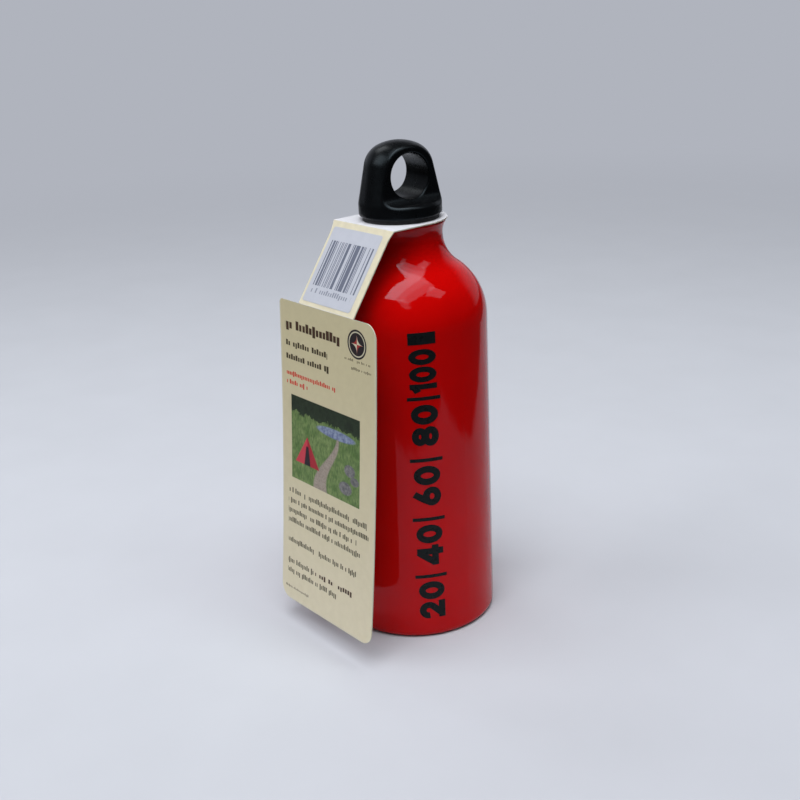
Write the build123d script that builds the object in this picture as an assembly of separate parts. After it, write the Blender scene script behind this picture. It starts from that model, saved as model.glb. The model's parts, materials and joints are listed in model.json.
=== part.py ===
from build123d import *

import os
from math import acos, asin, atan2, cos, degrees, radians, sin, sqrt, tan

# A camping fuel bottle: a drawn aluminium shell, a moulded loop stopper screwed down on a rubber
# gasket, and a folded card tag whose collar is clamped on the mouth. Lengths are in millimetres.
# The origin is the centre of the base on the surface it stands on, +Z is up, and the tag hangs
# on the -Y side.

# Bottle shell
body_radius = 36.5
body_wall = 1.1
base_wall = 2.0
base_dome_rise = 3.6
foot_width = 6.0
foot_round = 0.8
heel_radius = 3.0
floor_corner_radius = 2.2
cylinder_height = 144.3
shoulder_radius = 28.7
neck_blend_radius = 16.9
neck_radius = 17.95
neck_flare_height = 5.5
lip_flare = 1.55
lip_edge_depth = 1.2
lip_round = 0.75
bore_radius = 14.0
bore_entry_chamfer = 0.7
bore_foot_round = 2.5

# Card tag: collar, slanting strip and hanging panel
card = 0.45
collar_margin = 0.8
collar_hole_clearance = 0.25
fold_margin = 1.45
strip_length = 39.8
strip_half_width = 19.1
strip_slope = 54.8
strip_flare_length = 4.0
strip_flare_round = 12.0
panel_length = 144.0
panel_half_width = 33.6
panel_corner_radius = 6.5
panel_far_corner_radius = 2.2
panel_bow = 1.2
panel_lean = 5.08

# Sticker on the strip, by its margins to the strip's edges
sticker_thickness = 0.12
sticker_top_margin = 2.9
sticker_foot_margin = 1.9
sticker_left_margin = 1.4
sticker_right_margin = 3.8
sticker_corner_radius = 1.2

# Gasket under the stopper's flange
gasket_inset = 1.4
gasket_thickness = 1.85
gasket_clearance = 0.15

# Loop stopper
flange_radius = 18.1
flange_height = 5.2
flange_foot_round = 0.9
flange_blend_radius = 10.0
scoop_step = 0.4
scoop_round = 4.5
loop_turn = 83.0
loop_thickness = 18.6
loop_edge_round = 1.8
loop_side = 6.1
loop_top = 4.8
hole_radius = 9.6
hole_step = 1.7
hole_round = 1.0
crown_radius = 21.0
crown_blend_radius = 11.0
thread_depth = 1.1
thread_clearance = 0.2
plug_length = 17.6
plug_wall = 2.7
plug_roof = 1.0
plug_lead_chamfer = 1.0


def turned(section):
    """A body of revolution about the bottle's axis, from a section drawn as (radius, height)."""
    return revolve(Plane.XZ * section, Axis.Z)


def rounded(section, x, y, radius):
    """A flat section with the corner nearest a point rounded."""
    corner = section.vertices().sort_by_distance(Vector(x, y, 0))[0]
    return fillet(corner, radius)


def softened_cut(body, tool, radius):
    """Cuts a tool out of a body and rounds the edges that the cut makes."""
    cut = body - tool
    return fillet(new_edges(body, tool, combined=cut), radius)


# Bottle shell. The shoulder's convex arc runs straight into the neck's concave one, so the turn
# of both follows from their radii and how far the body is drawn in.
foot_radius = body_radius - heel_radius
foot_inner_radius = foot_radius - foot_width
dome_radius = (foot_inner_radius**2 + base_dome_rise**2) / (2 * base_dome_rise)
dome_centre_height = base_dome_rise - dome_radius
shoulder_turn = acos(1 - (body_radius - neck_radius) / (shoulder_radius + neck_blend_radius))
shoulder_centre = Vector(body_radius - shoulder_radius, cylinder_height)
waist_height = cylinder_height + (shoulder_radius + neck_blend_radius) * sin(shoulder_turn)
lip_radius = neck_radius + lip_flare
lip_edge_height = waist_height + neck_flare_height
mouth_height = lip_edge_height + lip_edge_depth


def shell_outside():
    """The outer outline, filled to the axis."""
    dome_turn = degrees(asin(foot_inner_radius / dome_radius))
    turn = degrees(shoulder_turn)
    flare_turn = 2 * atan2(lip_flare, neck_flare_height)
    flare_radius = neck_flare_height / sin(flare_turn)
    outline = [
        CenterArc((0, dome_centre_height), dome_radius, 90, -dome_turn),
        Line((foot_inner_radius, 0), (foot_radius, 0)),
        CenterArc((foot_radius, heel_radius), heel_radius, -90, 90),
        Line((body_radius, heel_radius), (body_radius, cylinder_height)),
        CenterArc(shoulder_centre, shoulder_radius, 0, turn),
        CenterArc((neck_radius + neck_blend_radius, waist_height), neck_blend_radius, 180 + turn, -turn),
        CenterArc((neck_radius + flare_radius, waist_height), flare_radius, 180, -degrees(flare_turn)),
        Line((lip_radius, lip_edge_height), (lip_radius, mouth_height)),
        Line((lip_radius, mouth_height), (0, mouth_height)),
        Line((0, mouth_height), (0, base_dome_rise)),
    ]
    section = make_face(Curve() + outline)
    section = rounded(section, foot_inner_radius, 0, foot_round)
    return rounded(section, lip_radius, mouth_height, lip_round)


def shell_inside():
    """The hollow: a floor over the dome, thin walls, and a neck left thick for its thread."""
    floor_dome_radius = dome_radius + base_wall
    dome_foot = sqrt(floor_dome_radius**2 - (base_wall - dome_centre_height) ** 2)
    hollow_radius = body_radius - body_wall
    inner_arc = shoulder_radius - body_wall
    arc_end = shoulder_centre + Vector(cos(shoulder_turn), sin(shoulder_turn)) * inner_arc
    bore_foot = (bore_radius, arc_end.Y + (arc_end.X - bore_radius) / tan(shoulder_turn))
    bore_entry = (bore_radius, mouth_height - bore_entry_chamfer)
    mouth_edge = (bore_radius + bore_entry_chamfer, mouth_height)
    dome_turn = degrees(asin(dome_foot / floor_dome_radius))
    outline = [
        CenterArc((0, dome_centre_height), floor_dome_radius, 90, -dome_turn),
        Line((dome_foot, base_wall), (hollow_radius, base_wall)),
        Line((hollow_radius, base_wall), (hollow_radius, cylinder_height)),
        CenterArc(shoulder_centre, inner_arc, 0, degrees(shoulder_turn)),
        Polyline(arc_end, bore_foot, bore_entry, mouth_edge, (0, mouth_height)),
        Line((0, mouth_height), (0, dome_centre_height + floor_dome_radius)),
    ]
    section = make_face(Curve() + outline)
    section = rounded(section, hollow_radius, base_wall, floor_corner_radius)
    return rounded(section, *bore_foot, bore_foot_round)


def bottle_shell():
    return turned(shell_outside()) - turned(shell_inside())


# Card tag. It is one card, folded twice. A fold's line lies on the card's outer side, and its two
# leaves are mitred to it, so they close on each other at rest and part when the fold opens flat.
collar_half_width = lip_radius + collar_margin
collar_top = mouth_height + card
fold_reach = lip_radius + fold_margin
upper_fold = Vector(0, -fold_reach, collar_top)
strip_run = Vector(0, -cos(radians(strip_slope)), -sin(radians(strip_slope)))
lower_fold = upper_fold + strip_run * strip_length
panel_run = Vector(0, -sin(radians(panel_lean)), -cos(radians(panel_lean)))
panel_foot = lower_fold + panel_run * panel_length
panel_top_slope = 90 - panel_lean + degrees(2 * atan2(2 * panel_bow, panel_length))


def beyond(fold, slope_before, slope_after, side):
    """All that lies past the plane that halves a fold, on the card's side after (1) or before (-1)."""
    half_slope = radians((slope_before + slope_after) / 2)
    along = Vector(0, -cos(half_slope), -sin(half_slope)) * side
    reach = 2 * (panel_length + panel_half_width)
    plane = Plane(origin=fold, x_dir=(1, 0, 0), z_dir=along)
    return plane * Box(reach, reach, reach, align=(Align.CENTER, Align.CENTER, Align.MIN))


def tag_collar():
    """The leaf on the mouth: a round end about the neck, and straight sides to the upper fold."""
    tongue = Pos(0, -fold_reach / 2) * Rectangle(2 * collar_half_width, fold_reach)
    outline = Circle(collar_half_width) + tongue - Circle(bore_radius + collar_hole_clearance)
    leaf = Pos(0, 0, mouth_height) * extrude(outline, card)
    return leaf - beyond(upper_fold, 0, strip_slope, 1)


def on_strip(section, thickness):
    """A flat outline laid on the strip's outer side: X across the card, Y up it."""
    outwards = Vector(1, 0, 0).cross(-strip_run)
    plane = Plane(origin=upper_fold, x_dir=(1, 0, 0), z_dir=outwards)
    return plane * extrude(section, thickness)


def tag_strip():
    """The slanting leaf, a little wider where it leaves the collar."""
    right_side = [
        (collar_half_width, 0),
        (strip_half_width, -strip_flare_length),
        (strip_half_width, -strip_length),
    ]
    left_side = [(-x, y) for x, y in reversed(right_side)]
    outline = make_face(Polyline(*right_side, *left_side, close=True))
    for side in (1, -1):
        outline = rounded(outline, side * strip_half_width, -strip_flare_length, strip_flare_round)
    leaf = on_strip(outline, -card)
    leaf = leaf - beyond(upper_fold, 0, strip_slope, -1)
    return leaf - beyond(lower_fold, strip_slope, panel_top_slope, 1)


def tag_panel():
    """The hanging leaf: its foot bows out a little, and its corners are die-cut round."""
    back = Vector(0, -panel_run.Z, panel_run.Y)
    bow_radius = (panel_length**2 / 4 + panel_bow**2) / (2 * panel_bow)
    bow_centre = (lower_fold + panel_foot) * 0.5 + back * (panel_bow - bow_radius)
    rolled = Plane(origin=bow_centre, x_dir=(0, 0, 1), z_dir=(1, 0, 0))
    reach = 3 * panel_half_width
    bowed_sheet = rolled * (Cylinder(bow_radius + card, reach) - Cylinder(bow_radius, reach))
    height = lower_fold.Z - panel_foot.Z
    outline = Pos(0, -height / 2) * Rectangle(2 * panel_half_width, height)
    outline = rounded(outline, -panel_half_width, 0, panel_far_corner_radius)
    for x, y in ((panel_half_width, 0), (panel_half_width, -height), (-panel_half_width, -height)):
        outline = rounded(outline, x, y, panel_corner_radius)
    front = Plane(origin=lower_fold, x_dir=(1, 0, 0), z_dir=(0, -1, 0))
    leaf = bowed_sheet & (front * extrude(outline, panel_length, both=True))
    return leaf - beyond(lower_fold, strip_slope, panel_top_slope, -1)


def tag_sticker():
    """A paper label on the strip's outer side."""
    left = sticker_left_margin - strip_half_width
    right = strip_half_width - sticker_right_margin
    foot = sticker_foot_margin - strip_length
    width, height = right - left, -sticker_top_margin - foot
    label = RectangleRounded(width, height, sticker_corner_radius)
    centre = ((left + right) / 2, foot + height / 2)
    return on_strip(Pos(*centre) * label, sticker_thickness)


# Gasket: a ring cut from flat rubber, round the plug and between the collar and the flange.
flange_foot = collar_top + gasket_thickness
plug_radius = bore_radius - thread_clearance - thread_depth


def gasket():
    inner, outer = plug_radius + gasket_clearance, flange_radius - gasket_inset
    band = Rectangle(outer - inner, gasket_thickness)
    return turned(Pos((inner + outer) / 2, (collar_top + flange_foot) / 2) * band)


# Loop stopper: one moulding. A turned bell is scooped away in front and behind to leave a thick
# loop, with a round hole through it. Its hollow plug has the root diameter of its thread.
flange_top = flange_foot + flange_height
scoop_floor = flange_top + scoop_step
hole_centre_height = scoop_floor + hole_step + hole_radius
crown_height = hole_centre_height + hole_radius + loop_top


def line_out_of_circle(start, through, centre, radius):
    """Where a line, followed on past its second point, leaves a circle."""
    run, offset = through - start, start - centre
    a, b, c = run.dot(run), run.dot(offset), offset.dot(offset) - radius**2
    return start + run * ((sqrt(b * b - a * c) - b) / a)


def bell():
    """Flange, flank and crown, turned about the axis."""
    flank_foot = Vector(flange_radius, flange_top)
    beside_hole = Vector(hole_radius + loop_side, hole_centre_height)
    crown_centre = Vector(0, crown_height - crown_radius)
    flank_top = line_out_of_circle(flank_foot, beside_hole, crown_centre, crown_radius)
    crown_turn = degrees(asin(flank_top.X / crown_radius))
    outline = [
        Polyline((0, flange_foot), (flange_radius, flange_foot), flank_foot, flank_top),
        CenterArc(crown_centre, crown_radius, 90 - crown_turn, crown_turn),
        Line((0, crown_height), (0, flange_foot)),
    ]
    section = make_face(Curve() + outline)
    section = rounded(section, flank_top.X, flank_top.Y, crown_blend_radius)
    section = rounded(section, flange_radius, flange_top, flange_blend_radius)
    return turned(rounded(section, flange_radius, flange_foot, flange_foot_round))


def loop_plane():
    """Through the hole's centre: local X across the loop, local Y up, local Z along the hole."""
    turn = radians(loop_turn)
    centre = (0, 0, hole_centre_height)
    return Plane(origin=centre, x_dir=(cos(turn), sin(turn), 0), z_dir=(sin(turn), -cos(turn), 0))


def scoops():
    """What is cut away in front of the loop and behind it, down to a floor with a rounded foot."""
    floor = scoop_floor - hole_centre_height
    face = loop_thickness / 2
    reach = crown_height - scoop_floor + flange_radius
    section = Pos(face + reach / 2, floor + reach / 2) * Rectangle(reach, reach)
    section = rounded(section, face, floor, scoop_round)
    section = section + mirror(section, Plane.YZ)
    end_on = loop_plane() * Plane(origin=(0, 0, 0), x_dir=(0, 0, 1), z_dir=(-1, 0, 0))
    return extrude(end_on * section, reach, both=True)


def plug(radius, top):
    """A round bar from the plug's foot up to a height."""
    foot = flange_foot - plug_length
    place = Pos(0, 0, foot)
    return place * Cylinder(radius, top - foot, align=(Align.CENTER, Align.CENTER, Align.MIN))


def stopper():
    hole = loop_plane() * Cylinder(hole_radius, 2 * flange_radius)
    loop = softened_cut(bell(), scoops(), loop_edge_round)
    loop = softened_cut(loop, hole, hole_round)
    stem = plug(plug_radius, flange_foot)
    stem = chamfer(stem.edges().sort_by(Axis.Z)[0], plug_lead_chamfer)
    return loop + stem - plug(plug_radius - plug_wall, flange_foot - plug_roof)


pieces = {
    "bottle_shell": bottle_shell,
    "tag_collar": tag_collar,
    "tag_strip": tag_strip,
    "tag_panel": tag_panel,
    "tag_sticker": tag_sticker,
    "gasket": gasket,
    "stopper": stopper,
}

os.makedirs("parts", exist_ok=True)
for name, make in pieces.items():
    piece = make()
    piece.label = name
    export_step(piece, f"parts/{name}.step")

# The hollow's volume, to compare with the size that such a bottle is sold as
hollow = turned(shell_inside())
print("brimful litres", round(hollow.volume / 1e6, 3))
print("mouth", mouth_height, "collar top", collar_top, "flange foot", flange_foot)
print("upper fold", upper_fold, "lower fold", lower_fold, "panel top slope", panel_top_slope)
print("hole centre height", hole_centre_height, "overall height", crown_height)
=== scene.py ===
import json
from math import ceil, cos, floor, pi, radians, sin

import bmesh
import bpy
from mathutils import Matrix, Vector
from mathutils.geometry import delaunay_2d_cdt


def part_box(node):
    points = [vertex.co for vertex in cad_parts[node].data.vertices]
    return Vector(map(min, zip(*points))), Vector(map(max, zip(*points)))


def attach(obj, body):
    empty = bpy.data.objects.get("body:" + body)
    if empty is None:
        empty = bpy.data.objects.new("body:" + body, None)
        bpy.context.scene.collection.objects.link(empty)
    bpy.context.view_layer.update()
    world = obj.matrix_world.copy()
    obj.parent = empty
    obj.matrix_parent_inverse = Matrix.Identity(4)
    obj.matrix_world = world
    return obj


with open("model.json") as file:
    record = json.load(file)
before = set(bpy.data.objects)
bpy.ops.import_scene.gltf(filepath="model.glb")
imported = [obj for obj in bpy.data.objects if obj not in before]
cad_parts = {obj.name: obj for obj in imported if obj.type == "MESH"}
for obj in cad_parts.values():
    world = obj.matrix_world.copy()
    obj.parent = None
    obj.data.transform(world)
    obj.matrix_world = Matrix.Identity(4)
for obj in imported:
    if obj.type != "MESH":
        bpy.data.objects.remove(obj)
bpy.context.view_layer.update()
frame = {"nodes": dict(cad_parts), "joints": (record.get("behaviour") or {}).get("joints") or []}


# Camera. A short telephoto looks down on the bottle from the right of the tag, a little above
# the loop. Its place is given round the bottle's axis.
mm = 0.001
camera_reach = 489.3 * mm
camera_height = 285.7 * mm
camera_bearing = radians(50.04)
camera_swing = radians(0.5)
camera_pitch = radians(20.35)
camera_roll = radians(-2.865)
nearest_in_view = 10 * mm
lens_length = 51.14
sensor_width = 36.0
frame_pixels = 800
lens_axis_pixel = 399

camera = bpy.data.objects.new("camera", bpy.data.cameras.new("camera"))
camera.data.sensor_width = sensor_width
camera.data.lens = lens_length
camera.data.shift_y = (lens_axis_pixel - frame_pixels / 2) / frame_pixels
camera.data.clip_start = nearest_in_view
heading = Matrix.Rotation(camera_bearing + camera_swing, 4, "Z")
tilt = Matrix.Rotation(pi / 2 - camera_pitch, 4, "X")
stand = Vector((camera_reach * sin(camera_bearing), -camera_reach * cos(camera_bearing), camera_height))
camera.matrix_world = Matrix.Translation(stand) @ heading @ tilt @ Matrix.Rotation(camera_roll, 4, "Z")
bpy.context.scene.collection.objects.link(camera)
bpy.context.scene.camera = camera


# Bottle shell. One cup of aluminium, drawn deep, necked in and sprayed with gloss red enamel.
# The mouth and the inside stay bare, and a thin ragged band at the very foot is darker and rougher.
cad = frame["nodes"]
mouth_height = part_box("bottle_shell")[1].z
body_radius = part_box("bottle_shell")[1].x
lip_bare_depth = 0.7 * mm
floor_height = 9 * mm
foot_band_height = 0.35 * mm
enamel_red = (0.56, 0.001, 0.0006, 1)
enamel_deep_red = (0.50, 0.0008, 0.0005, 1)
bare_aluminium = (0.66, 0.67, 0.68, 1)
dark_foot_red = (0.20, 0.012, 0.010, 1)
sky_tint = (0.66, 0.86, 1.0, 1)
rougher_when_bare, rougher_in_foot_band = 0.3, 0.35
# Orange peel and dust nibs. The heights of all bumps are in millimetres.
peel_grain, peel_height = 2.4 * mm, 0.006
nib_spacing, nib_height = 13 * mm, 0.03
nib_reach_share = 0.035
nib_free_share = 0.62


def put(tree, kind, *given, **settings):
    """Adds a node and fills its sockets in order: a socket is linked, and None is left alone."""
    made = tree.nodes.new(kind)
    for name, value in settings.items():
        setattr(made, name, value)
    for socket, value in zip(made.inputs, given):
        if isinstance(value, bpy.types.NodeSocket):
            tree.links.new(value, socket)
        elif value is not None:
            socket.default_value = value
    return made


def calc(tree, operation, *given):
    return put(tree, "ShaderNodeMath", *given, operation=operation).outputs[0]


def ramp(tree, value, low, high):
    """0 below low and 1 above high, rising smoothly between them, or falling if low is the higher."""
    return put(tree, "ShaderNodeMapRange", value, low, high, interpolation_type="SMOOTHSTEP").outputs[0]


def mixed(tree, factor, first, second):
    """One colour over another, as the factor says. The node's other kinds of input come between."""
    other_kinds = [None] * 5
    return put(tree, "ShaderNodeMix", factor, *other_kinds, first, second, data_type="RGBA").outputs[2]


def new_group(kind, name, given, made):
    """An empty node group with named inputs and outputs, and the sockets of its two end nodes."""
    group = bpy.data.node_groups.new(name, kind)
    for direction, sockets in (("INPUT", given), ("OUTPUT", made)):
        for label, value_kind in sockets.items():
            group.interface.new_socket(label, in_out=direction, socket_type="NodeSocket" + value_kind)
    return group, group.nodes.new("NodeGroupInput").outputs, group.nodes.new("NodeGroupOutput").inputs


def use(tree, effect, *given):
    """Places a shader group in a tree and gives its first output."""
    return put(tree, "ShaderNodeGroup", *given, node_tree=effect).outputs[0]


def new_finish(name):
    """A material with its node tree, its shader's sockets and the place on the piece that it reads."""
    finish = bpy.data.materials.new(name)
    finish.use_nodes = True
    tree = finish.node_tree
    place = tree.nodes.new("ShaderNodeTexCoord").outputs
    return finish, tree, tree.nodes["Principled BSDF"].inputs, place


def feed(tree, sockets, name, value):
    tree.links.new(value, sockets[name])


def raise_surface(tree, shader, height):
    """Bumps the surface by a height in millimetres."""
    strength, height_unit, filter_width = 1.0, mm, None
    bump = put(tree, "ShaderNodeBump", strength, height_unit, filter_width, height)
    feed(tree, shader, "Normal", bump.outputs[0])


def dress(piece, finish):
    piece.data.materials.clear()
    piece.data.materials.append(finish)


def uneven_effect():
    """Cloudy variation of a given grain, between a low and a high value."""
    group, given, made = new_group(
        "ShaderNodeTree", "uneven",
        {"Place": "Vector", "Grain": "Float", "Low": "Float", "High": "Float"},
        {"Value": "Float"},
    )
    scale = calc(group, "DIVIDE", 1.0, given["Grain"])
    detail, roughness = 3.0, 0.55
    cloud = put(group, "ShaderNodeTexNoise", given["Place"], None, scale, detail, roughness).outputs[0]
    darkest, brightest = 0.3, 0.7
    spread = put(group, "ShaderNodeMapRange", cloud, darkest, brightest, given["Low"], given["High"])
    group.links.new(spread.outputs[0], made["Value"])
    return group


uneven = uneven_effect()


def enamel_finish():
    """Gloss enamel with orange peel and dust nibs, bare metal where no spray reached."""
    finish, tree, shader, place = new_finish("red_enamel")
    here = place["Object"]
    x, y, z = put(tree, "ShaderNodeSeparateXYZ", here).outputs
    facing = put(tree, "ShaderNodeSeparateXYZ", place["Normal"]).outputs
    outwards = calc(tree, "ADD", calc(tree, "MULTIPLY", x, facing[0]), calc(tree, "MULTIPLY", y, facing[1]))
    inner_wall = ramp(tree, outwards, -0.1 * mm, -1 * mm)
    lip = ramp(tree, z, mouth_height - lip_bare_depth, mouth_height)
    upwards = ramp(tree, facing[2], 0.3, 0.6)
    floor_inside = calc(tree, "MULTIPLY", upwards, ramp(tree, z, floor_height, 0.8 * floor_height))
    bare = calc(tree, "MAXIMUM", calc(tree, "MAXIMUM", inner_wall, lip), floor_inside)
    # A thin ragged band at the very foot, darker red and rougher than the rest of the enamel.
    foot_band_edge = use(tree, uneven, here, 1.5 * mm, 0.3 * foot_band_height, 1.6 * foot_band_height)
    foot_band = calc(tree, "LESS_THAN", z, foot_band_edge)

    clouds = use(tree, uneven, here, 34 * mm, 0.0, 1.0)
    red = mixed(tree, clouds, enamel_red, enamel_deep_red)
    red = mixed(tree, foot_band, red, dark_foot_red)
    feed(tree, shader, "Base Color", mixed(tree, bare, red, bare_aluminium))
    feed(tree, shader, "Metallic", bare)
    gloss = calc(tree, "MULTIPLY_ADD", bare, rougher_when_bare, use(tree, uneven, here, 12 * mm, 0.04, 0.09))
    feed(tree, shader, "Roughness", calc(tree, "MULTIPLY_ADD", foot_band, rougher_in_foot_band, gloss))
    shader["Specular IOR Level"].default_value = 0.20
    shader["Specular Tint"].default_value = sky_tint

    peel = use(tree, uneven, here, peel_grain, 0.0, peel_height)
    specks = put(tree, "ShaderNodeTexVoronoi", here, None, 1 / nib_spacing).outputs
    chance = put(tree, "ShaderNodeSeparateColor", specks["Color"]).outputs[0]
    dome = ramp(tree, specks["Distance"], nib_reach_share, 0.0)
    nib = calc(tree, "MULTIPLY", dome, calc(tree, "GREATER_THAN", chance, nib_free_share))
    raise_surface(tree, shader, calc(tree, "MULTIPLY_ADD", nib, nib_height, peel))
    return finish


dress(cad["bottle_shell"], enamel_finish())


# Threads. The neck has a coarse rolled thread inside, and the stopper's plug a moulded one that
# runs in it. Both are right-handed ridges whose ends fade into the wall, and with the stopper
# home the plug's turns lie midway between the neck's.
thread_pitch = 4.0 * mm
thread_depth = 1.1 * mm
thread_root = 0.03 * mm
thread_foot_width = 1.9 * mm
thread_crest_width = 0.9 * mm
thread_steps_a_turn = 64
thread_fade_share = 0.08
thread_tip_share = 0.08
weld_distance = 0.001 * mm
# A ridge's side: it stands into the neck's bore, or out from the plug.
stands_inwards, stands_outwards = -1.0, 1.0
bore_radius = 14.0 * mm
plug_radius = 12.7 * mm
neck_thread_foot = mouth_height - 16.2 * mm
neck_thread_turns = 3.4
plug_thread_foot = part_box("stopper")[0].z + 1.6 * mm
plug_thread_turns = 3.2
plug_thread_start = 2 * pi * ((plug_thread_foot - neck_thread_foot) / thread_pitch - 0.5)
roller_ring_pitch = 0.16 * mm
dull_aluminium = (0.55, 0.55, 0.56, 1)


def apart(tree, first, second):
    """How far two values are from each other."""
    return calc(tree, "ABSOLUTE", calc(tree, "SUBTRACT", first, second))


def tree_of_thread():
    """Geometry Nodes: a helix with a ridge swept along it, fading at both ends."""
    tree, given, made = new_group(
        "GeometryNodeTree", "screw_thread",
        {"Radius": "Float", "Depth": "Float", "Side": "Float", "Foot Width": "Float", "Crest Width": "Float",
         "Pitch": "Float", "Turns": "Float", "Foot Height": "Float", "Start": "Float", "Finish": "Material"},
        {"Geometry": "Geometry"},
    )
    helix = tree.nodes.new("GeometryNodeCurveSpiral")
    helix.inputs["Resolution"].default_value = thread_steps_a_turn
    helix.inputs["Reverse"].default_value = True
    tree.links.new(given["Turns"], helix.inputs["Rotations"])
    for end in ("Start Radius", "End Radius"):
        tree.links.new(given["Radius"], helix.inputs[end])
    tree.links.new(calc(tree, "MULTIPLY", given["Pitch"], given["Turns"]), helix.inputs["Height"])
    upright = put(tree, "GeometryNodeSetCurveNormal", helix.outputs[0], mode="Z_UP")

    ridge = tree.nodes.new("GeometryNodeCurvePrimitiveQuadrilateral")
    ridge.mode = "TRAPEZOID"
    tree.links.new(given["Foot Width"], ridge.inputs["Bottom Width"])
    tree.links.new(given["Crest Width"], ridge.inputs["Top Width"])
    ridge.inputs["Offset"].default_value = 0.0
    tree.links.new(given["Depth"], ridge.inputs["Height"])

    def placed(shape, shift, turn):
        moved = put(tree, "GeometryNodeTransform", shape)
        tree.links.new(put(tree, "ShaderNodeCombineXYZ", *shift).outputs[0], moved.inputs["Translation"])
        tree.links.new(put(tree, "ShaderNodeCombineXYZ", 0.0, 0.0, turn).outputs[0], moved.inputs["Rotation"])
        return moved.outputs[0]

    out = calc(tree, "MULTIPLY", calc(tree, "MULTIPLY", given["Side"], given["Depth"]), 0.5)
    standing = placed(ridge.outputs[0], (out, 0.0, 0.0), calc(tree, "MULTIPLY", given["Side"], -pi / 2))
    along = tree.nodes.new("GeometryNodeSplineParameter").outputs["Factor"]
    middle = 0.5
    fade_start = middle - thread_fade_share
    fade = put(
        tree, "ShaderNodeMapRange", apart(tree, along, middle), middle, fade_start, thread_tip_share, 1.0,
        interpolation_type="SMOOTHSTEP",
    ).outputs[0]
    sweep = put(tree, "GeometryNodeCurveToMesh", upright.outputs[0], standing, fade, True).outputs[0]
    sweep = placed(sweep, (0.0, 0.0, given["Foot Height"]), given["Start"])
    plain = put(tree, "GeometryNodeRealizeInstances", sweep)
    coloured = put(tree, "GeometryNodeSetMaterial", plain.outputs[0])
    tree.links.new(given["Finish"], coloured.inputs["Material"])
    tree.links.new(coloured.outputs[0], made["Geometry"])
    return tree


def grown(name, tree, **sizes):
    """A piece grown by a Geometry Nodes tree, as a plain mesh at the origin."""
    seed = bpy.data.objects.new(name + "_seed", bpy.data.meshes.new(name + "_seed"))
    bpy.context.scene.collection.objects.link(seed)
    grower = seed.modifiers.new("grow", "NODES")
    grower.node_group = tree
    sockets = [socket for socket in tree.interface.items_tree if socket.in_out == "INPUT"]
    labels = {socket.name: socket.identifier for socket in sockets}
    for label, value in sizes.items():
        grower[labels[label.replace("_", " ").title()]] = value
    evaluated = seed.evaluated_get(bpy.context.evaluated_depsgraph_get())
    mesh = bpy.data.meshes.new_from_object(evaluated)
    bpy.data.objects.remove(seed)
    mesh.name = name
    shape = bmesh.new()
    shape.from_mesh(mesh)
    bmesh.ops.remove_doubles(shape, verts=shape.verts, dist=weld_distance)
    bmesh.ops.recalc_face_normals(shape, faces=shape.faces)
    shape.to_mesh(mesh)
    shape.free()
    piece = bpy.data.objects.new(name, mesh)
    bpy.context.scene.collection.objects.link(piece)
    return piece


def thread_metal_finish():
    """Bare rolled aluminium, with fine rings left by the roller."""
    finish, tree, shader, place = new_finish("rolled_aluminium")
    here = place["Object"]
    height = put(tree, "ShaderNodeSeparateXYZ", here).outputs[2]
    rings = calc(tree, "SINE", calc(tree, "MULTIPLY", height, 2 * pi / roller_ring_pitch))
    tone = use(tree, uneven, here, 3 * mm, 0.0, 1.0)
    feed(tree, shader, "Base Color", mixed(tree, tone, bare_aluminium, dull_aluminium))
    shader["Metallic"].default_value = 1.0
    feed(tree, shader, "Roughness", use(tree, uneven, here, 1.5 * mm, 0.26, 0.4))
    raise_surface(tree, shader, calc(tree, "MULTIPLY", rings, 0.004))
    return finish


screw_thread = tree_of_thread()
neck_thread = grown(
    "neck_thread", screw_thread,
    radius=bore_radius + thread_root, depth=thread_depth + thread_root, side=stands_inwards,
    foot_width=thread_foot_width, crest_width=thread_crest_width, pitch=thread_pitch,
    turns=neck_thread_turns, foot_height=neck_thread_foot, start=0.0, finish=thread_metal_finish(),
)
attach(neck_thread, "bottle")


# Measure marks. A fill scale screen-printed up the body in heavy black ink: a line and a plain
# number for each fifth of the filling, and a bar where filling stops.
marks_right_bearing = radians(69.3)
marks_width = 12.0 * mm
ink_thickness = 0.05 * mm
ink_depth = 0.06 * mm
scale_foot = 4.0 * mm
stop_height = 146.5 * mm
stop_bar_thickness = 5.2 * mm
line_thickness = 1.6 * mm
line_overhang = 1.3 * mm
number_gap = 2.0 * mm
fifths = 5
bend_step = 0.6 * mm
bow_steps = 28
ink_weld_distance = 0.005 * mm
shortest_ink_edge = 0.01 * mm
ink_black = (0.004, 0.007, 0.008, 1)
ink_thin = (0.008, 0.010, 0.011, 1)


def bow(x, y, wide, high, start=0, end=360):
    """Points along an oval, or along the part of it between two angles in degrees."""
    turns = [radians(start + (end - start) * step / bow_steps) for step in range(bow_steps + 1)]
    return [(x + wide * cos(turn), y + high * sin(turn)) for turn in turns]


# Each figure's width and the middles of its strokes, in shares of the figures' height.
stroke_share = 0.26
figure_gap_share = 0.08
joined_share = 0.001
figure_shares = {
    "0": (0.76, [bow(0.38, 0.5, 0.25, 0.37)]),
    "1": (0.42, [[(0.29, 0), (0.29, 1)], [(0.29, 0.85), (0.02, 0.70)]]),
    "2": (0.74, [bow(0.355, 0.64, 0.225, 0.23, 190, -38) + [(0.18, 0.14)], [(0.01, 0.13), (0.74, 0.13)]]),
    "4": (0.84, [[(0.56, 0.95), (0.14, 0.37)], [(0, 0.31), (0.84, 0.31)], [(0.58, 0), (0.58, 1)]]),
    "6": (0.76, [bow(0.38, 0.35, 0.25, 0.22), [(0.15, 0.43), (0.30, 0.70), (0.50, 1)]]),
    "8": (0.76, [bow(0.38, 0.312, 0.25, 0.182), bow(0.38, 0.698, 0.22, 0.172)]),
}


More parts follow.
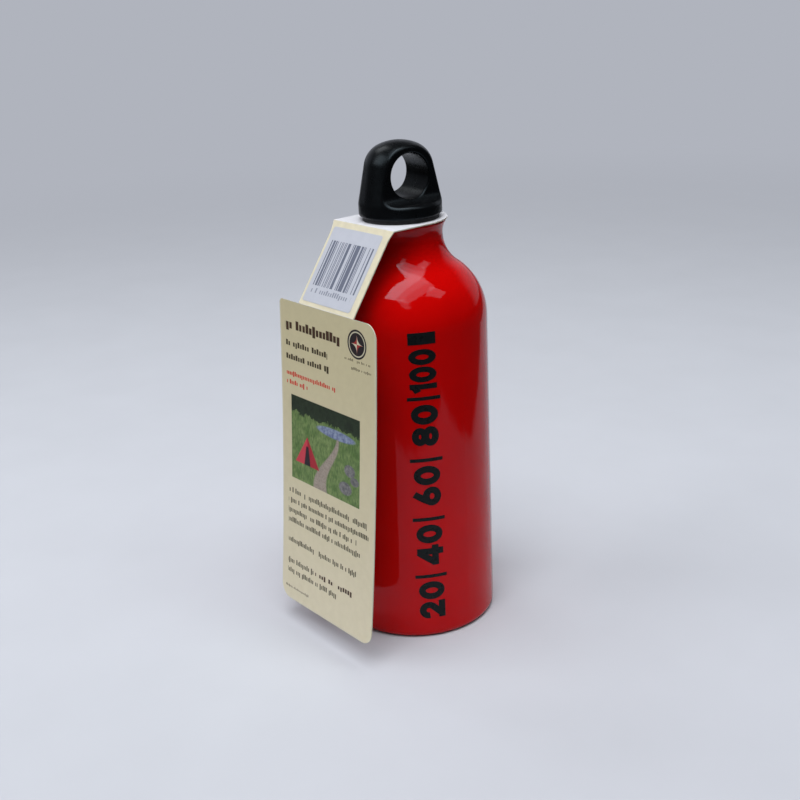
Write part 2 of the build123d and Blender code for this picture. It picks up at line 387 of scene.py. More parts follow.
def stroke_faces(middle):
    """A stroke of full weight along its middle, as a chain of four-sided faces."""
    points = [Vector(point) for point in middle]
    closed = (points[0] - points[-1]).length < joined_share
    before = [points[-2] if closed else points[0]] + points[:-1]
    after = points[1:] + [points[1] if closed else points[-1]]
    sides = []
    for point, back, on in zip(points, before, after):
        way = (on - back).normalized()
        aside = Vector((way.y, -way.x)) * stroke_share / 2
        sides.append((point + aside, point - aside))
    return [(first[0], second[0], second[1], first[1]) for first, second in zip(sides, sides[1:])]


def number_shape(number, room):
    """A number in heavy upright figures, as a flat shape no longer than the room, and its length."""
    corners, faces = [], []
    start = 0
    for figure in number:
        width, strokes = figure_shares[figure]
        for stroke in strokes:
            for face in stroke_faces(stroke):
                faces.append([len(corners) + corner for corner in range(4)])
                corners += [corner + Vector((start, 0)) for corner in face]
        start += width + figure_gap_share
    whole_hull, tolerance = 0, 0.0001
    drawn = delaunay_2d_cdt(corners, [], faces, whole_hull, tolerance)
    inked = [triangle for triangle, sources in zip(drawn[2], drawn[5]) if sources]
    length = min(room, (start - figure_gap_share) * marks_width)
    grow = length / (start - figure_gap_share)
    mesh = bpy.data.meshes.new("number")
    mesh.from_pydata([(point.x * grow, point.y * marks_width, 0) for point in drawn[0]], [], inked)
    return mesh, length


def bar_shape(thickness, overhang):
    """A plain bar across the scale, longer than the figures are high by an overhang at each end."""
    near, far = -overhang, marks_width + overhang
    corners = [(0, near, 0), (thickness, near, 0), (thickness, far, 0), (0, far, 0)]
    mesh = bpy.data.meshes.new("bar")
    mesh.from_pydata(corners, [], [(0, 1, 2, 3)])
    return mesh


def put_in_order(parts, key):
    """Sorts a mesh's parts, which an extrusion leaves in another order on each run."""
    for rank, part in enumerate(sorted(parts, key=key)):
        part.index = rank
    parts.sort()


def print_on_body(marks):
    """Lays flat shapes up the body, bends them round it and gives the ink its thickness."""
    ink = bmesh.new()
    for start, mesh in marks:
        mesh.transform(Matrix.Translation((start, 0, 0)))
        ink.from_mesh(mesh)
        bpy.data.meshes.remove(mesh)
    bmesh.ops.remove_doubles(ink, verts=ink.verts, dist=ink_weld_distance)
    first_bend = ceil(-line_overhang / bend_step)
    last_bend = floor((marks_width + line_overhang) / bend_step)
    for bend in range(first_bend, last_bend + 1):
        everything = ink.verts[:] + ink.edges[:] + ink.faces[:]
        bmesh.ops.bisect_plane(ink, geom=everything, plane_co=(0, bend * bend_step, 0), plane_no=(0, 1, 0))
    bmesh.ops.dissolve_degenerate(ink, dist=shortest_ink_edge, edges=ink.edges[:])
    flat = ink.faces[:]
    raised = bmesh.ops.extrude_face_region(ink, geom=flat)["geom"]
    for vertex in (item for item in raised if isinstance(item, bmesh.types.BMVert)):
        vertex.co.z = ink_thickness
    for vertex in ink.verts:
        up, across, lift = vertex.co
        bearing = marks_right_bearing - across / body_radius
        reach = body_radius + (lift if lift > 0 else -ink_depth)
        vertex.co = (reach * sin(bearing), -reach * cos(bearing), up)
    bmesh.ops.recalc_face_normals(ink, faces=ink.faces)
    put_in_order(ink.verts, lambda vertex: tuple(vertex.co))
    for parts in (ink.edges, ink.faces):
        put_in_order(parts, lambda part: sorted(vertex.index for vertex in part.verts))
    mesh = bpy.data.meshes.new("measure_marks")
    ink.to_mesh(mesh)
    ink.free()
    mesh.shade_smooth()
    mesh.set_sharp_from_angle(angle=pi / 4)
    piece = bpy.data.objects.new("measure_marks", mesh)
    bpy.context.scene.collection.objects.link(piece)
    return piece


def ink_finish():
    """Screen ink: black, a little less glossy than the enamel, and thin at places."""
    finish, tree, shader, place = new_finish("screen_ink")
    here = place["Object"]
    thin = use(tree, uneven, here, 0.9 * mm, 0.0, 1.0)
    feed(tree, shader, "Base Color", mixed(tree, thin, ink_black, ink_thin))
    feed(tree, shader, "Roughness", use(tree, uneven, here, 4 * mm, 0.24, 0.34))
    shader["Specular IOR Level"].default_value = 0.14
    raise_surface(tree, shader, use(tree, uneven, here, 0.35 * mm, 0.0, 0.004))
    return finish


marks = []
spacing = (stop_height - scale_foot) / fifths
for fifth in range(1, fifths + 1):
    thickness = line_thickness if fifth < fifths else stop_bar_thickness
    line_foot = scale_foot + fifth * spacing - thickness
    number, length = number_shape(str(round(100 * fifth / fifths)), spacing - thickness - 2 * number_gap)
    marks.append((line_foot, bar_shape(thickness, line_overhang if fifth < fifths else 0)))
    marks.append((line_foot - number_gap - length, number))
measure_marks = print_on_body(marks)
dress(measure_marks, ink_finish())
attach(measure_marks, "bottle")


# Gasket. A ring cut from flat black rubber, squeezed between the tag's collar and the flange.
# It clings to the plug and shows as a dull line under the stopper.
rubber_black = (0.012, 0.012, 0.013, 1)
rubber_bloom = (0.028, 0.028, 0.030, 1)


def rubber_finish():
    finish, tree, shader, place = new_finish("gasket_rubber")
    here = place["Object"]
    bloom = use(tree, uneven, here, 2.2 * mm, 0.0, 0.8)
    feed(tree, shader, "Base Color", mixed(tree, bloom, rubber_black, rubber_bloom))
    feed(tree, shader, "Roughness", use(tree, uneven, here, 1.0 * mm, 0.6, 0.8))
    shader["Specular IOR Level"].default_value = 0.35
    raise_surface(tree, shader, use(tree, uneven, here, 0.25 * mm, 0.0, 0.02))
    return finish


dress(cad["gasket"], rubber_finish())


# Loop stopper. One moulding of black polypropylene with a spark-eroded satin skin. The mould
# parts along the loop's middle, where it leaves a hairline of flash.
loop_turn = radians(83)
moulding_black = (0.0018, 0.0020, 0.0024, 1)
moulding_grey = (0.0030, 0.0034, 0.0040, 1)
flash_half_width, flash_height = 0.07 * mm, 0.02


def moulding_finish():
    finish, tree, shader, place = new_finish("black_polypropylene")
    here = place["Object"]
    clouds = use(tree, uneven, here, 9 * mm, 0.0, 1.0)
    feed(tree, shader, "Base Color", mixed(tree, clouds, moulding_black, moulding_grey))
    feed(tree, shader, "Roughness", use(tree, uneven, here, 5 * mm, 0.26, 0.31))
    shader["Specular IOR Level"].default_value = 0.16
    shader["Specular Tint"].default_value = sky_tint
    x, y = put(tree, "ShaderNodeSeparateXYZ", here).outputs[:2]
    off_middle = calc(tree, "MULTIPLY_ADD", y, -cos(loop_turn), calc(tree, "MULTIPLY", x, sin(loop_turn)))
    flash = ramp(tree, calc(tree, "ABSOLUTE", off_middle), flash_half_width, 0.0)
    skin = use(tree, uneven, here, 0.22 * mm, 0.0, 0.006)
    raise_surface(tree, shader, calc(tree, "MULTIPLY_ADD", flash, flash_height, skin))
    return finish


black_moulding = moulding_finish()
dress(cad["stopper"], black_moulding)
plug_thread = grown(
    "plug_thread", screw_thread,
    radius=plug_radius - thread_root, depth=thread_depth + thread_root, side=stands_outwards,
    foot_width=thread_foot_width, crest_width=thread_crest_width, pitch=thread_pitch,
    turns=plug_thread_turns, foot_height=plug_thread_foot, start=plug_thread_start, finish=black_moulding,
)
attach(plug_thread, "stopper")


# Hang tag. One die-cut card, printed cream on its outer side from the upper crease down and
# white on the collar. The creases crack the print a little, and the cut edges show the core.
folds = {joint["name"]: Vector(joint["pos_m"]) for joint in frame["joints"] if "pos_m" in joint}
upper_fold = folds["tag_upper_fold"]
lower_fold = folds["tag_lower_fold"]
panel_low, panel_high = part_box("tag_panel")
collar_white = (0.62, 0.63, 0.68, 1)
collar_shade = (0.59, 0.60, 0.645, 1)
card_core = (0.60, 0.57, 0.46, 1)
cream = (0.62, 0.56, 0.36, 1)
# Towards the panel's foot the cream grows lighter: painted light, as the lower card catches more light.
cream_foot_painted_light = (0.68, 0.62, 0.46, 1)
cream_mottle = (0.3, 0.25, 0.15, 1)
cream_edge = (0.64, 0.60, 0.45, 1)
cream_edge_shade = (0.58, 0.54, 0.41, 1)
# Print is laid out in millimetres, across a leaf and down it from its fold.
border_width, border_softness = 1.0, 0.1
crease_half_width = 0.35


def reach_along(tree, vector, way):
    """How far a vector reaches along a fixed way."""
    return put(tree, "ShaderNodeVectorMath", vector, tuple(way), operation="DOT_PRODUCT").outputs["Value"]


def card_place(tree, place, fold, run):
    """How far a place is across its leaf and down it from its fold, in millimetres."""
    slope = Vector((0, 1, 0)).angle(Vector((0, run.y, run.z)))
    shift = -(Matrix.Rotation(slope, 3, "X") @ fold) / mm
    laid = put(tree, "ShaderNodeMapping", place["Object"], shift, (slope, 0, 0), (1 / mm,) * 3)
    return put(tree, "ShaderNodeSeparateXYZ", laid.outputs[0]).outputs[:2]


def card_stock(tree, shader, place):
    """What all the card shares: fibres, a little sheen, and hands that have felt it."""
    here = place["Object"]
    feed(tree, shader, "Roughness", use(tree, uneven, here, 7 * mm, 0.5, 0.62))
    shader["Specular IOR Level"].default_value = 0.3
    fibres = use(tree, uneven, here, 0.3 * mm, 0.0, 0.012)
    raise_surface(tree, shader, calc(tree, "ADD", fibres, use(tree, uneven, here, 6 * mm, 0.0, 0.05)))
    return use(tree, uneven, here, 3.5 * mm, 0.0, 1.0)


def fronts_of(tree, place, outwards):
    """1 on a leaf's outer side, and 0 on its cut edges and its back."""
    return ramp(tree, reach_along(tree, place["Normal"], outwards), 0.7, 0.9)


def collar_finish():
    finish, tree, shader, place = new_finish("white_card")
    mottle = card_stock(tree, shader, place)
    white = mixed(tree, mottle, collar_white, collar_shade)
    front = fronts_of(tree, place, (0, 0, 1))
    feed(tree, shader, "Base Color", mixed(tree, front, card_core, white))
    return finish


dress(cad["tag_collar"], collar_finish())

strip_run = (lower_fold - upper_fold).normalized()
strip_length = (lower_fold - upper_fold).length / mm
strip_outwards = Vector((1, 0, 0)).cross(-strip_run)


def crease_wear(tree, place, down, fold_down):
    """A ragged pale line where the print cracks along a crease."""
    ragged = use(tree, uneven, place["Object"], 0.8 * mm, 0.2, 1.0)
    return calc(tree, "MULTIPLY", ramp(tree, apart(tree, down, fold_down), crease_half_width, 0.0), ragged)


def strip_finish():
    finish, tree, shader, place = new_finish("cream_strip_card")
    mottle = card_stock(tree, shader, place)
    across, down = card_place(tree, place, upper_fold, strip_run)
    colour = mixed(tree, mottle, cream_edge, cream_edge_shade)
    for fold_down in (0.0, strip_length):
        colour = mixed(tree, crease_wear(tree, place, down, fold_down), colour, collar_white)
    front = fronts_of(tree, place, strip_outwards)
    feed(tree, shader, "Base Color", mixed(tree, front, card_core, colour))
    return finish


dress(cad["tag_strip"], strip_finish())

panel_run = (Vector((0, panel_low.y, panel_low.z)) - Vector((0, lower_fold.y, lower_fold.z))).normalized()
panel_outwards = Vector((1, 0, 0)).cross(-panel_run)
panel_half_width = panel_high.x / mm
panel_length = (lower_fold.z - panel_low.z) / -panel_run.z / mm
ink_brown = (0.055, 0.026, 0.014, 1)
ink_umber = (0.050, 0.034, 0.016, 1)
ink_grey = (0.085, 0.075, 0.045, 1)
ink_red = (0.60, 0.03, 0.018, 1)
# Small print is a row of plain blocks. A few are blank, most have a level top and foot, and the
# rest rise above the row or hang below it by a share of its height.
blank_share = 0.15
level_top_share, rise_share = 0.66, 0.4
level_foot_share, hang_share = 0.86, 0.35
block_softness = 0.05


def within(tree, value, low, high, soft):
    """1 between two values, with soft edges."""
    rise = ramp(tree, value, calc(tree, "SUBTRACT", low, soft), calc(tree, "ADD", low, soft))
    drop = ramp(tree, value, calc(tree, "ADD", high, soft), calc(tree, "SUBTRACT", high, soft))
    return calc(tree, "MULTIPLY", rise, drop)


def measured(tree, value, origin, unit):
    """How far a value is from an origin, in a unit of its own."""
    return calc(tree, "DIVIDE", calc(tree, "SUBTRACT", value, origin), unit)


def print_row_effect():
    """A row of small print, as plain blocks: some of them rise or hang, and gaps part the words."""
    group, given, made = new_group(
        "ShaderNodeTree", "print_row",
        {"Across": "Float", "Down": "Float", "Left": "Float", "Right": "Float", "Top": "Float",
         "Height": "Float", "Letter": "Float", "Weight": "Float", "Seed": "Float"},
        {"Ink": "Float"},
    )
    blocks = calc(group, "DIVIDE", given["Across"], given["Letter"])
    drop = measured(group, given["Down"], given["Top"], given["Height"])
    dice = put(group, "ShaderNodeCombineXYZ", calc(group, "FLOOR", blocks), given["Seed"], 0.0).outputs[0]
    throw = put(group, "ShaderNodeTexWhiteNoise", dice, noise_dimensions="3D").outputs["Color"]
    first, second, third = put(group, "ShaderNodeSeparateColor", throw).outputs
    top = calc(group, "MULTIPLY", calc(group, "GREATER_THAN", second, level_top_share), -rise_share)
    foot = calc(group, "MULTIPLY_ADD", calc(group, "GREATER_THAN", third, level_foot_share), hang_share, 1.0)
    off_middle = apart(group, calc(group, "FRACT", blocks), 0.5)
    half = calc(group, "MULTIPLY", given["Weight"], calc(group, "MULTIPLY_ADD", second, 0.3, 0.85))
    outer = calc(group, "ADD", half, block_softness)
    inner = calc(group, "SUBTRACT", half, block_softness)
    ink = ramp(group, off_middle, outer, inner)
    ink = calc(group, "MULTIPLY", ink, within(group, drop, top, foot, block_softness))
    ink = calc(group, "MULTIPLY", ink, calc(group, "GREATER_THAN", first, blank_share))
    in_row = within(group, given["Across"], given["Left"], given["Right"], block_softness)
    group.links.new(calc(group, "MULTIPLY", ink, in_row), made["Ink"])
    return group


print_row = print_row_effect()

# Rows of one table don't share a height. A row's step in the colour ramps begins a little above
# it, and the ramps hold places and sizes as shares of a span longer than the card.
row_lead = 1.2
table_span = 200.0
centre_share = 0.5


def printed_rows(tree, across, down, rows):
    """Rows of small print from a table, looked up by how far down the card a place is."""
    where = calc(tree, "DIVIDE", down, table_span)

    def looked_up(values):
        found = put(tree, "ShaderNodeValToRGB", where)
        steps = found.color_ramp
        steps.interpolation = "CONSTANT"
        for row, value in zip(rows, values):
            step = steps.elements.new((row[2] - row_lead) / table_span)
            step.color = value
        steps.elements[0].color = values[0]
        steps.elements.remove(steps.elements[-1])
        return found.outputs[0]

    def from_centre(share):
        return calc(tree, "MULTIPLY", calc(tree, "SUBTRACT", share, centre_share), table_span)

    places, shapes = [], []
    for left, right, top, height, letter, weight, _ in rows:
        ends = (centre_share + left / table_span, centre_share + right / table_span)
        places.append((*ends, top / table_span, 1))
        shapes.append((height / table_span, letter / table_span, weight, 1))
    left, right, top = put(tree, "ShaderNodeSeparateColor", looked_up(places)).outputs
    height, letter, weight = put(tree, "ShaderNodeSeparateColor", looked_up(shapes)).outputs
    top, height, letter = (calc(tree, "MULTIPLY", share, table_span) for share in (top, height, letter))
    left, right = from_centre(left), from_centre(right)
    seed = top
    covered = use(tree, print_row, across, down, left, right, top, height, letter, weight, seed)
    return covered, looked_up([row[-1] for row in rows])


# The panel's print. Each row is given as left, right, top, letter height, letter width, stroke
# weight and ink.
main_rows = (
    (-29.9, 9.6, 9.7, 2.9, 2.45, 0.40, ink_brown),
    (-29.8, 0.8, 18.6, 1.9, 1.75, 0.37, ink_umber),
    (-29.8, 1.6, 24.8, 1.9, 1.75, 0.37, ink_umber),
    (-29.6, 7.4, 32.6, 1.5, 1.25, 0.34, ink_red),
    (-29.6, -14.0, 36.7, 1.5, 1.25, 0.34, ink_red),
    (-29.2, 28.2, 88.5, 1.8, 1.15, 0.33, ink_grey),
    (-29.2, 29.6, 93.4, 1.8, 1.15, 0.33, ink_grey),
    (-29.2, 21.4, 98.3, 1.8, 1.15, 0.33, ink_grey),
    (-29.2, 24.2, 103.2, 1.8, 1.15, 0.33, ink_grey),
    (-29.2, 21.6, 113.2, 1.8, 1.15, 0.33, ink_grey),
    (-29.2, -9.0, 123.8, 1.8, 1.15, 0.33, ink_grey),
    (-29.2, 8.0, 128.7, 1.8, 1.15, 0.33, ink_grey),
    (-30.6, -11.6, 137.6, 0.8, 0.75, 0.24, ink_umber),
)
side_rows = (
    (12.4, 30.4, 17.2, 0.8, 0.75, 0.26, ink_umber),
    (17.4, 30.4, 20.6, 0.8, 0.75, 0.26, ink_umber),
    (-8.0, 19.0, 123.9, 1.6, 1.75, 0.34, ink_brown),
)
badge_middle = (21.3, 10.2)
badge_radius = 6.3
badge_dark = (0.018, 0.012, 0.016, 1)
badge_red = (0.36, 0.03, 0.03, 1)
# The badge's ring, its star's outline and its own edge, in shares of its radius.
badge_ring_shares, badge_ring_softness_share = (0.78, 0.86), 0.02
badge_star_shares = (0.86, 0.82)
badge_edge_shares = (1.01, 0.98)
picture_left, picture_right = -26.5, 23.0
picture_top, picture_foot = 42.9, 82.6
grass_dark = (0.10, 0.19, 0.05, 1)
grass_light = (0.27, 0.36, 0.14, 1)
grass_shadow = (0.05, 0.10, 0.03, 1)
fir_dark = (0.006, 0.010, 0.006, 1)
fir_light = (0.03, 0.05, 0.025, 1)
lake_pale = (0.30, 0.36, 0.50, 1)
lake_deep = (0.10, 0.13, 0.26, 1)
gravel_pale = (0.40, 0.34, 0.29, 1)
gravel_dark = (0.26, 0.22, 0.19, 1)
stone_pale = (0.24, 0.235, 0.24, 1)
stone_dark = (0.09, 0.09, 0.10, 1)
tent_sunlit = (0.55, 0.05, 0.075, 1)
tent_shaded = (0.36, 0.02, 0.035, 1)
tent_inside = (0.02, 0.012, 0.02, 1)
# Places in the picture, in shares of its width and height. The lake and the stones are ovals,
# each with its middle and its two half widths.
lake_shares = (0.66, 0.27, 0.27, 0.055)
stone_shares = ((0.86, 0.62, 0.075, 0.07), (0.93, 0.72, 0.06, 0.05), (0.80, 0.84, 0.09, 0.075))
oval_softness_share = 0.12
frame_softness_share = 0.003
wood_foot_share, wood_full_share, treetop_share = 0.13, 0.10, 0.16
path_bends = 5.0
path_middle_share, path_sway_share = 0.56, 0.13
path_narrow_share, path_spread_share = -0.03, 0.13
path_end_share, path_full_share = 0.30, 0.34
path_verge_shares = (0.015, -0.01)
tent_middle_share, tent_half_width_share = 0.24, 0.18
tent_top_share, tent_foot_share = 0.44, 0.78
door_half_width_share = 0.045
tent_softness_share = 0.008


def distance(tree, x, y):
    return calc(tree, "SQRT", calc(tree, "MULTIPLY_ADD", x, x, calc(tree, "MULTIPLY", y, y)))


def small_tent(tree, left_share, top_share):
    """The tent's outline, and its cloth with a sunlit side, a shaded side and a dark door."""
    climb = measured(tree, top_share, tent_top_share, tent_foot_share - tent_top_share)
    aside = calc(tree, "SUBTRACT", left_share, tent_middle_share)
    off_middle = calc(tree, "ABSOLUTE", aside)

    def under_slope(half_width, outer, inner):
        past = calc(tree, "SUBTRACT", off_middle, calc(tree, "MULTIPLY", climb, half_width))
        return ramp(tree, past, outer, inner)

    height = within(tree, top_share, tent_top_share, tent_foot_share, tent_softness_share)
    slopes = under_slope(tent_half_width_share, tent_softness_share, -tent_softness_share)
    cloth = mixed(tree, ramp(tree, aside, -0.01, 0.01), tent_sunlit, tent_shaded)
    door = under_slope(door_half_width_share, tent_softness_share, -tent_softness_share / 2)
    door = calc(tree, "MULTIPLY", door, ramp(tree, climb, 0.3, 0.36))
    return calc(tree, "MULTIPLY", slopes, height), mixed(tree, door, cloth, tent_inside)


def picture_of_camp(tree, place, across, down):
    """A plain camping scene: firs over a meadow, a lake, a path, stones and a small tent."""
    left_share = measured(tree, across, picture_left, picture_right - picture_left)
    top_share = measured(tree, down, picture_top, picture_foot - picture_top)
    here = place["Object"]

    def oval(x, y, wide, high):
        reach = distance(tree, measured(tree, left_share, x, wide), measured(tree, top_share, y, high))
        return ramp(tree, reach, 1 + oval_softness_share, 1 - oval_softness_share)

    blades = put(tree, "ShaderNodeMapping", here, None, None, (1, 1, 0.35)).outputs[0]
    colour = mixed(tree, use(tree, uneven, here, 5 * mm, 0.0, 1.0), grass_dark, grass_light)
    colour = mixed(tree, use(tree, uneven, blades, 0.8 * mm, 0.0, 0.75), colour, grass_shadow)
    treetops = put(tree, "ShaderNodeTexNoise", here, None, 1 / (2.2 * mm), 2.0).outputs[0]
    below_tops = calc(tree, "MULTIPLY_ADD", treetops, -treetop_share, top_share)
    firs = ramp(tree, below_tops, wood_foot_share, wood_full_share)
    colour = mixed(tree, firs, colour, mixed(tree, treetops, fir_dark, fir_light))
    ripple = use(tree, uneven, here, 1.6 * mm, 0.0, 1.0)
    colour = mixed(tree, oval(*lake_shares), colour, mixed(tree, ripple, lake_pale, lake_deep))

    sway = calc(tree, "SINE", calc(tree, "MULTIPLY", top_share, path_bends))
    middle = calc(tree, "MULTIPLY_ADD", sway, path_sway_share, path_middle_share)
    half_path = calc(tree, "MULTIPLY_ADD", top_share, path_spread_share, path_narrow_share)
    off_path = calc(tree, "SUBTRACT", apart(tree, left_share, middle), half_path)
    path = ramp(tree, off_path, *path_verge_shares)
    path = calc(tree, "MULTIPLY", path, ramp(tree, top_share, path_end_share, path_full_share))
    gravel = mixed(tree, use(tree, uneven, here, 0.9 * mm, 0.0, 1.0), gravel_pale, gravel_dark)
    colour = mixed(tree, path, colour, gravel)
    for stone in stone_shares:
        colour = mixed(tree, oval(*stone), colour, mixed(tree, ripple, stone_pale, stone_dark))
    tent, cloth = small_tent(tree, left_share, top_share)
    colour = mixed(tree, tent, colour, cloth)
    between_sides = within(tree, left_share, 0.0, 1.0, frame_softness_share)
    between_ends = within(tree, top_share, 0.0, 1.0, frame_softness_share)
    return colour, calc(tree, "MULTIPLY", between_sides, between_ends)


def compass_badge(tree, across, down):
    """A plain dark disc with a pale ring and a four-pointed compass star."""
    x = measured(tree, across, badge_middle[0], badge_radius)
    y = measured(tree, down, badge_middle[1], badge_radius)
    reach = distance(tree, x, y)
    roots = [calc(tree, "SQRT", calc(tree, "ABSOLUTE", side)) for side in (x, y)]
    star = ramp(tree, calc(tree, "ADD", *roots), *badge_star_shares)
    half = calc(tree, "GREATER_THAN", calc(tree, "MULTIPLY", x, y), 0.0)
    ring = within(tree, reach, *badge_ring_shares, badge_ring_softness_share)
    colour = mixed(tree, ring, badge_dark, cream_edge)
    colour = mixed(tree, star, colour, mixed(tree, half, cream_edge, badge_red))
    return colour, ramp(tree, reach, *badge_edge_shares)


def panel_finish():
    finish, tree, shader, place = new_finish("printed_card")
    mottle = card_stock(tree, shader, place)
    across, down = card_place(tree, place, lower_fold, panel_run)
    # The cream is darker at the top and lighter towards the foot: painted shade and light, as the lower card
    # catches more light.
    ground_with_painted_light = mixed(tree, ramp(tree, down, 0.0, panel_length), cream, cream_foot_painted_light)
    colour = mixed(tree, calc(tree, "MULTIPLY", mottle, 0.08), ground_with_painted_light, cream_mottle)

    for rows in (main_rows, side_rows):
        covered, ink = printed_rows(tree, across, down, rows)
        colour = mixed(tree, covered, colour, ink)
    badge, drawn = compass_badge(tree, across, down)
    colour = mixed(tree, drawn, colour, badge)
    picture, inside = picture_of_camp(tree, place, across, down)
    colour = mixed(tree, inside, colour, picture)

    borders = []
    for reach, end in ((calc(tree, "ABSOLUTE", across), panel_half_width), (down, panel_length)):
        start = end - border_width
        borders.append(ramp(tree, reach, start - border_softness, start + border_softness))
    border = calc(tree, "MAXIMUM", *borders)
    colour = mixed(tree, calc(tree, "MULTIPLY", border, 0.8), colour, cream_edge)
    colour = mixed(tree, crease_wear(tree, place, down, 0.0), colour, collar_white)
    front = fronts_of(tree, place, panel_outwards)
    feed(tree, shader, "Base Color", mixed(tree, front, card_core, colour))
    return finish


dress(cad["tag_panel"], panel_finish())


# Sticker. A white paper label stuck on the strip by hand, with a block of plain bars of random
# widths and a row of small marks under them.
bars_left, bars_right = -15.2, 13.4
bars_top, bars_foot = 9.1, 30.2
bar_step = 0.43
bar_blank_share = 0.47
# The row of marks, as left, right, top, letter height, letter width, stroke weight and seed.
sticker_row = (bars_left + 0.6, bars_right - 1.0, bars_foot + 1.7, 1.6, 1.5, 0.26, 5.0)
sticker_white = (0.455, 0.48, 0.55, 1)
sticker_shade = (0.43, 0.455, 0.525, 1)
bar_ink = (0.11, 0.125, 0.18, 1)


def sticker_finish():
    finish, tree, shader, place = new_finish("sticker_paper")
    here = place["Object"]
    across, down = card_place(tree, place, upper_fold, strip_run)
    step = calc(tree, "FLOOR", calc(tree, "DIVIDE", across, bar_step))
    throw = put(tree, "ShaderNodeTexWhiteNoise", None, step, noise_dimensions="1D").outputs["Value"]
    bars = calc(tree, "GREATER_THAN", throw, bar_blank_share)
    bars = calc(tree, "MULTIPLY", bars, within(tree, across, bars_left, bars_right, 0.02))
    bars = calc(tree, "MULTIPLY", bars, within(tree, down, bars_top, bars_foot, 0.08))
    small_marks = calc(tree, "MULTIPLY", use(tree, print_row, across, down, *sticker_row), 0.7)
    paper = mixed(tree, use(tree, uneven, here, 4 * mm, 0.0, 1.0), sticker_white, sticker_shade)
    front = fronts_of(tree, place, strip_outwards)
    ink = calc(tree, "MULTIPLY", calc(tree, "MAXIMUM", bars, small_marks), front)
    feed(tree, shader, "Base Color", mixed(tree, ink, paper, bar_ink))
    feed(tree, shader, "Roughness", use(tree, uneven, here, 5 * mm, 0.42, 0.52))
    shader["Specular IOR Level"].default_value = 0.3
    raise_surface(tree, shader, use(tree, uneven, here, 0.2 * mm, 0.0, 0.006))
    return finish


dress(cad["tag_sticker"], sticker_finish())


# Floor and light. The bottle stands on a pale sheet that fades into the backdrop far off, and in
# reflections alone ends in a dark room at the front and the sides. A skylight of three panels set
# askew gives the star on the shoulder. A wing, a strip, a back light and a window fill the rest.
floor_pale = (0.52, 0.545, 0.60, 1)
floor_front_painted_shade = (0.46, 0.48, 0.53, 1)
floor_dim = (0.05, 0.05, 0.052, 1)
floor_mottle = (0, 0, 0, 1)
room_dark = (0.035, 0.035, 0.038, 1)
backdrop = (0.435, 0.455, 0.51, 1)
floor_reach = 30.0
front_start, front_end = -0.15, 0.3
far_start, far_end = 0.35, 1.5
dim_start, dim_end = 0.24, 0.265
# How far the sheet's right and left edges spread for each step behind the bottle.
right_edge_spread, left_edge_spread = 0.55, 0.36
light_height = 1.8
light_step_share = 0.003
skylight_turn = radians(-34.3)
strip_turn = radians(22.0)
# Each level light's middle to the right of the bottle and towards the camera, its two sides, its
# turn and its radiance. Places and sides are shares of the height. Each light hangs a step above
# the one before, because only one of two lights in the same plane shows in a reflection.
light_shares = {
    "skylight_left": (-0.115, 0.299, 0.36, 1.12, skylight_turn, 7.6),
    "skylight_middle": (0.116, 0.456, 0.20, 1.12, skylight_turn, 4.3),
    "skylight_right": (0.319, 0.594, 0.29, 1.12, skylight_turn, 2.7),
    "wing": (0.90, 0.42, 0.62, 0.42, 0.0, 2.7),
    "back_light": (-0.6, -0.8, 0.6, 0.6, 0.0, 2.7),
    "front_strip": (0.01, 1.2, 0.26, 0.75, strip_turn, 1.8),
}
# The side window's way from the bottle: to the right, towards the camera and up.
window_way_shares = (-0.76, 0.16, 0.63)
window_distance = 2.0
window_side = 1.2
window_radiance = 3.6
# In reflections the room is dark, and pale only low behind the bottle.
behind_start, behind_end = 0.35, 0.6
low_start, low_end = 0.6, 0.3

towards_camera = Vector((sin(camera_bearing), -cos(camera_bearing), 0))
to_the_right = Vector((cos(camera_bearing), sin(camera_bearing), 0))


def floor_finish():
    finish, tree, shader, place = new_finish("floor_paper")
    here = place["Object"]
    towards = reach_along(tree, here, towards_camera)
    aside = reach_along(tree, here, to_the_right)
    # Towards the camera the sheet turns darker: painted shade.
    colour = mixed(tree, ramp(tree, towards, front_start, front_end), floor_pale, floor_front_painted_shade)

    behind = calc(tree, "MINIMUM", towards, 0.0)
    past_right = calc(tree, "MULTIPLY_ADD", behind, right_edge_spread, aside)
    past_left = calc(tree, "MULTIPLY_ADD", behind, left_edge_spread, calc(tree, "MULTIPLY", aside, -1.0))
    edge = calc(tree, "MAXIMUM", calc(tree, "MAXIMUM", towards, past_right), past_left)
    edge = calc(tree, "ADD", edge, use(tree, uneven, here, 18 * mm, -0.012, 0.012))
    ray = put(tree, "ShaderNodeLightPath").outputs
    reflected = calc(tree, "SUBTRACT", 1.0, ray["Is Camera Ray"])
    dim = calc(tree, "MULTIPLY", ramp(tree, edge, dim_start, dim_end), reflected)
    colour = mixed(tree, dim, colour, floor_dim)
    tone = use(tree, uneven, here, 60 * mm, 0.97, 1.0)
    feed(tree, shader, "Base Color", mixed(tree, tone, floor_mottle, colour))
    shader["Roughness"].default_value = 0.8
    shader["Specular IOR Level"].default_value = 0.15

    reach = put(tree, "ShaderNodeVectorMath", here, operation="LENGTH").outputs["Value"]
    faded = calc(tree, "MULTIPLY", ramp(tree, reach, far_start, far_end), ray["Is Camera Ray"])
    far_off = put(tree, "ShaderNodeEmission", backdrop).outputs[0]
    sheet = put(tree, "ShaderNodeMixShader", faded, tree.nodes["Principled BSDF"].outputs[0], far_off)
    tree.links.new(sheet.outputs[0], tree.nodes["Material Output"].inputs["Surface"])
    return finish


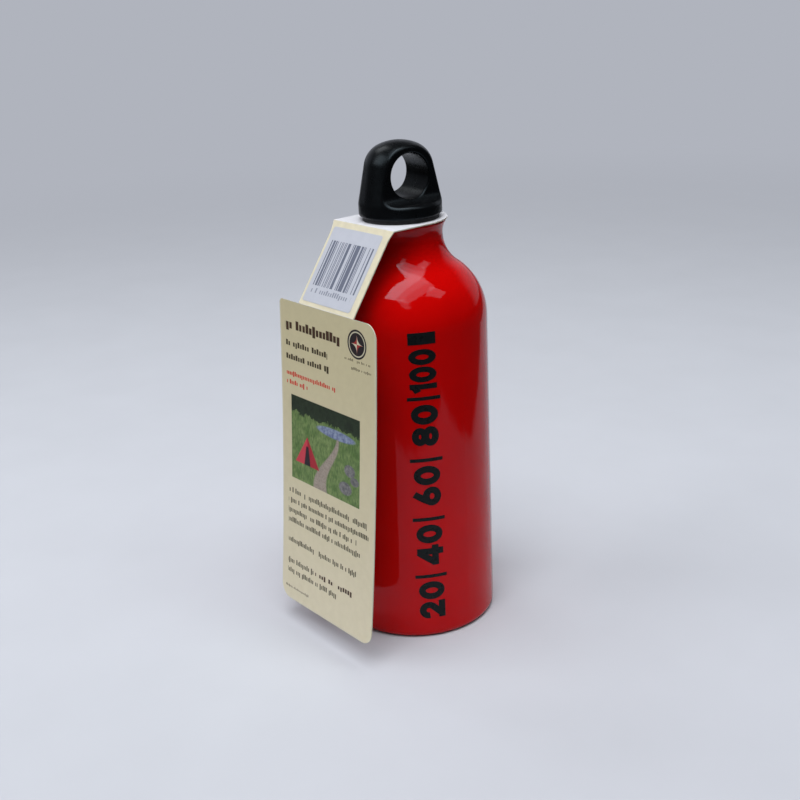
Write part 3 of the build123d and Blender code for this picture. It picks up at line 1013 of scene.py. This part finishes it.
near, far = -floor_reach, floor_reach
floor_mesh = bpy.data.meshes.new("floor")
floor_mesh.from_pydata([(near, near, 0), (far, near, 0), (far, far, 0), (near, far, 0)], [], [(0, 1, 2, 3)])
floor_sheet = bpy.data.objects.new("floor", floor_mesh)
bpy.context.scene.collection.objects.link(floor_sheet)
dress(floor_sheet, floor_finish())


def soft_light(name, place, facing, turn, width, depth, radiance):
    """An even rectangle of light that faces one way, turned about that way."""
    lamp = bpy.data.objects.new(name, bpy.data.lights.new(name, "AREA"))
    lamp.data.shape = "RECTANGLE"
    lamp.data.size, lamp.data.size_y = width, depth
    lamp.data.energy = radiance * pi * width * depth
    lamp.location = place
    aimed = facing.to_track_quat("-Z", "Y").to_matrix()
    lamp.rotation_euler = (aimed @ Matrix.Rotation(turn, 3, "Z")).to_euler()
    bpy.context.scene.collection.objects.link(lamp)


over = Vector((0, 0, mouth_height + light_height))
downwards = Vector((0, 0, -1))
for name, (aside, towards, width, depth, turn, radiance) in light_shares.items():
    over.z += light_step_share * light_height
    place = over + (to_the_right * aside + towards_camera * towards) * light_height
    sides = (width * light_height, depth * light_height)
    soft_light(name, place, downwards, camera_bearing + turn, *sides, radiance)
aside, towards, up = window_way_shares
window_way = (towards_camera * towards + to_the_right * aside + Vector((0, 0, up))).normalized()
window_place = window_way * window_distance + Vector((0, 0, mouth_height / 2))
soft_light("side_window", window_place, -window_way, 0.0, window_side, window_side, window_radiance)

world = bpy.data.worlds.new("room")
world.use_nodes = True
bpy.context.scene.world = world
tree = world.node_tree
looking = tree.nodes.new("ShaderNodeTexCoord").outputs["Generated"]
behind = ramp(tree, reach_along(tree, looking, -towards_camera), behind_start, behind_end)
low = ramp(tree, put(tree, "ShaderNodeSeparateXYZ", looking).outputs[2], low_start, low_end)
room = mixed(tree, calc(tree, "MULTIPLY", behind, low), room_dark, backdrop)
room = mixed(tree, put(tree, "ShaderNodeLightPath").outputs["Is Camera Ray"], room, backdrop)
tree.links.new(room, tree.nodes["Background"].inputs["Color"])

bpy.context.scene.view_settings.view_transform = "Standard"
